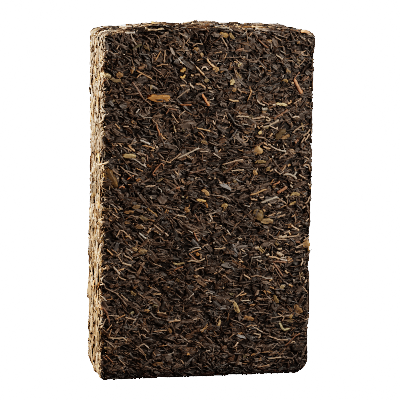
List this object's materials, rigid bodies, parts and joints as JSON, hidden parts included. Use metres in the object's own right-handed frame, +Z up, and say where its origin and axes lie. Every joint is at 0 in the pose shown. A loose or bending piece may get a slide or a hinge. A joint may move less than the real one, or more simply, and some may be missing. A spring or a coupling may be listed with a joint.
{
  "type": "fu brick tea",
  "caption": "Upright rectangular brick of pressed dark tea: a solid slab with rough, matted leaf and stalk on every face, a slightly crowned top and rounded corners.",
  "frame": {"origin": "middle of the base, which is one narrow short end of the brick; the brick stands on it", "axes": "+Z up along the brick's length, X along its width, and the broad front face looks along -Y"},
  "size_m": [0.142, 0.0402, 0.2324],
  "materials": {
    "pressed_tea": "dry, pressed dark tea leaf, nearly black in its gaps",
    "dark_leaf": "dry rolled leaf, dark brown with a faint sheen on its ridges",
    "brown_leaf": "dry torn leaf, matt brown to olive",
    "tea_stalk": "dry split stalk, tan to reddish brown, satin"
  },
  "bodies": {
    "root": {"tea_brick": "pressed_tea"}
  },
  "joints": []
}
